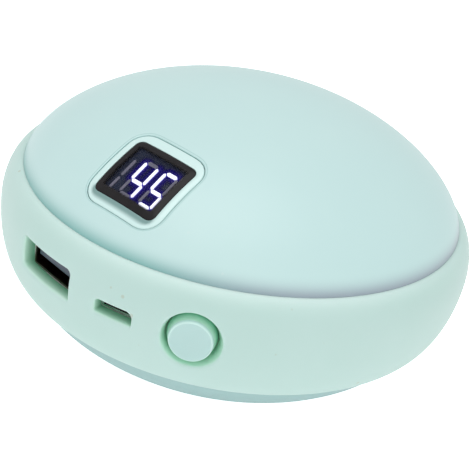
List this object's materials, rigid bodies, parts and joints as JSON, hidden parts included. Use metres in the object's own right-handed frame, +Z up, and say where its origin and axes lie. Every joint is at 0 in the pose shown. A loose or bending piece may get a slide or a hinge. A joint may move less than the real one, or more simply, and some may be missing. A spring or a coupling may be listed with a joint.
{
  "type": "rechargeable hand warmer",
  "caption": "Round pebble hand warmer with a temperature display in its domed top, a soft side band and a charging output, a charging input and a push button at its front.",
  "frame": {"origin": "middle of the flat foot that it rests on", "axes": "+Z up through the middle of the domes; +X to the right of the display's digits; -Y to the front, where the display leans and the ports lie"},
  "size_m": [0.096, 0.096, 0.0511],
  "materials": {
    "cover": "satin pale aqua",
    "band": "soft mint",
    "frame": "white",
    "bezel": "smooth pale aqua",
    "lens": "smoked clear",
    "segments": "diffusing white",
    "dark_plastic": "matte",
    "tongue": "blue grey",
    "board": "green solder mask",
    "steel": "plated",
    "contacts": "gold plated",
    "cell": "foil pouch",
    "film": "amber film",
    "foam": "grey felt",
    "pad": "foam pad",
    "lead": "red and black sleeves",
    "thin_lead": "white sleeves",
    "socket": "ivory"
  },
  "bodies": {
    "body": {"top_cover": "cover", "bottom_cover": "cover", "side_band": "band", "mid_frame": "frame", "display_bezel": "bezel", "display_lens": "lens", "display_module": "dark_plastic", "segment_bars": "segments", "display_cable": "film", "switch_body": "dark_plastic", "circuit_board": "board", "usb_a_shell": "steel", "usb_a_tongue": "tongue", "usb_a_contacts": "contacts", "micro_usb_shell": "steel", "micro_usb_tongue": "dark_plastic", "micro_usb_contacts": "contacts", "battery_cell": "cell", "battery_guard_board": "board", "battery_pads": "pad", "battery_leads": "lead", "upper_heater": "film", "lower_heater": "film", "heater_insulation": "foam", "heater_leads": "thin_lead", "temperature_sensor": "dark_plastic", "sensor_leads": "thin_lead", "lead_sockets": "socket", "power_inductor": "dark_plastic", "control_chips": "dark_plastic", "capacitors": "steel", "cover_screws": "steel", "board_screws": "steel"},
    "button": {"power_button": "bezel", "switch_plunger": "dark_plastic"}
  },
  "joints": [
    {"name": "button_press", "type": "slide", "parent": "body", "child": "button", "axis": [-0.4321, 0.9018, 0], "range_m": [0, 0.0006], "stiffness_N_per_m": 2500, "springref_m": -0.0002}
  ]
}
